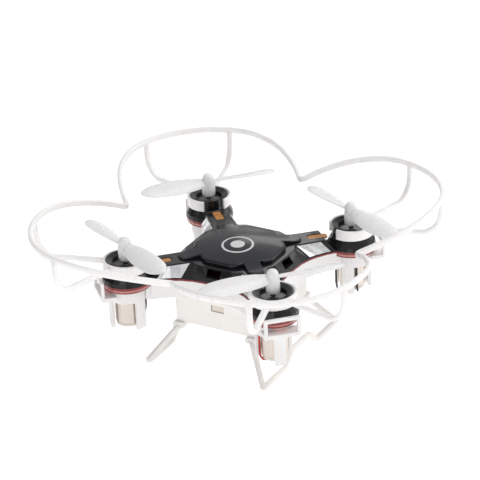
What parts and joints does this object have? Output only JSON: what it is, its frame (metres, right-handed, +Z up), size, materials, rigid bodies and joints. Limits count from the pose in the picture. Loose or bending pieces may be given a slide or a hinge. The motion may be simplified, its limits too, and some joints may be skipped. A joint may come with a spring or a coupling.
{
  "type": "palm quadcopter drone",
  "caption": "Palm-size quadcopter: black and white shell, round propeller guard hoops, motor cages, belly battery tray and landing skids; propellers spin, power switch slides.",
  "frame": {"origin": "on the floor, under the centre of the body", "axes": "+Z up, +X right and -Y front; the four motor axes stand on the diagonals"},
  "size_m": [0.1126, 0.1126, 0.0485],
  "materials": {
    "shell_black": "satin moulded plastic",
    "canopy_gloss": "high gloss lacquer",
    "band_red": "clear red light guide",
    "shell_white": "satin moulded plastic",
    "guard_milky": "milky flexible plastic",
    "propeller_plastic": "milky semi-clear plastic",
    "motor_metal": "drawn motor can, warm silver",
    "cap_plastic": "moulded end cap",
    "shaft_steel": "ground shaft",
    "pouch": "silver battery pouch",
    "board": "solder resist",
    "chip": "chip package",
    "socket_plastic": "moulded connector",
    "switch_black": "moulded switch",
    "lead_red": "soft wire insulation",
    "lead_black": "soft wire insulation",
    "led_red": "clear red lamp",
    "window_amber": "amber insert",
    "screw_brass": "plated screw",
    "foil_silver": "brushed foil trim"
  },
  "bodies": {
    "airframe": {"top_shell": "shell_black", "canopy": "canopy_gloss", "light_band": "band_red", "bottom_shell": "shell_white", "battery_tray": "shell_white", "battery_pack": "pouch", "circuit_board": "board", "flight_chip": "chip", "radio_chip": "chip", "charge_socket": "socket_plastic", "power_switch_body": "switch_black", "propeller_guard": "guard_milky", "skid_left": "guard_milky", "skid_right": "guard_milky", "motor_can_front_left": "motor_metal", "motor_cap_front_left": "cap_plastic", "motor_lead_inner_front_left": "lead_black", "motor_lead_outer_front_left": "lead_black", "led_front_left": "led_red", "arm_window_front_left": "window_amber", "screw_front_left": "screw_brass", "motor_can_front_right": "motor_metal", "motor_cap_front_right": "cap_plastic", "motor_lead_inner_front_right": "lead_red", "motor_lead_outer_front_right": "lead_black", "led_front_right": "led_red", "arm_window_front_right": "window_amber", "screw_front_right": "screw_brass", "motor_can_rear_right": "motor_metal", "motor_cap_rear_right": "cap_plastic", "motor_lead_inner_rear_right": "lead_black", "motor_lead_outer_rear_right": "lead_black", "led_rear_right": "led_red", "arm_window_rear_right": "window_amber", "screw_rear_right": "screw_brass", "motor_can_rear_left": "motor_metal", "motor_cap_rear_left": "cap_plastic", "motor_lead_inner_rear_left": "lead_red", "motor_lead_outer_rear_left": "lead_black", "led_rear_left": "led_red", "arm_window_rear_left": "window_amber", "screw_rear_left": "screw_brass", "flank_foil_right_a": "foil_silver", "flank_foil_right_b": "foil_silver", "flank_foil_rear_a": "foil_silver", "flank_foil_rear_b": "foil_silver", "flank_foil_left_a": "foil_silver", "flank_foil_left_b": "foil_silver", "flank_foil_front_a": "foil_silver", "flank_foil_front_b": "foil_silver"},
    "propeller_front_left_rotor": {"motor_shaft_front_left": "shaft_steel", "propeller_front_left": "propeller_plastic"},
    "propeller_front_right_rotor": {"motor_shaft_front_right": "shaft_steel", "propeller_front_right": "propeller_plastic"},
    "propeller_rear_right_rotor": {"motor_shaft_rear_right": "shaft_steel", "propeller_rear_right": "propeller_plastic"},
    "propeller_rear_left_rotor": {"motor_shaft_rear_left": "shaft_steel", "propeller_rear_left": "propeller_plastic"},
    "power_switch_knob": {"power_switch_slider": "switch_black"}
  },
  "joints": [
    {"name": "propeller_front_left_spin", "type": "hinge", "parent": "airframe", "child": "propeller_front_left_rotor", "pos_m": [-0.0264, -0.0264, 0.04], "axis": [0, 0, 1], "continuous": true},
    {"name": "propeller_front_right_spin", "type": "hinge", "parent": "airframe", "child": "propeller_front_right_rotor", "pos_m": [0.0264, -0.0264, 0.04], "axis": [0, 0, 1], "continuous": true},
    {"name": "propeller_rear_right_spin", "type": "hinge", "parent": "airframe", "child": "propeller_rear_right_rotor", "pos_m": [0.0264, 0.0264, 0.04], "axis": [0, 0, 1], "continuous": true},
    {"name": "propeller_rear_left_spin", "type": "hinge", "parent": "airframe", "child": "propeller_rear_left_rotor", "pos_m": [-0.0264, 0.0264, 0.04], "axis": [0, 0, 1], "continuous": true},
    {"name": "power_switch_slide", "type": "slide", "parent": "airframe", "child": "power_switch_knob", "axis": [1, 0, 0], "range_m": [0, 0.0026]}
  ]
}
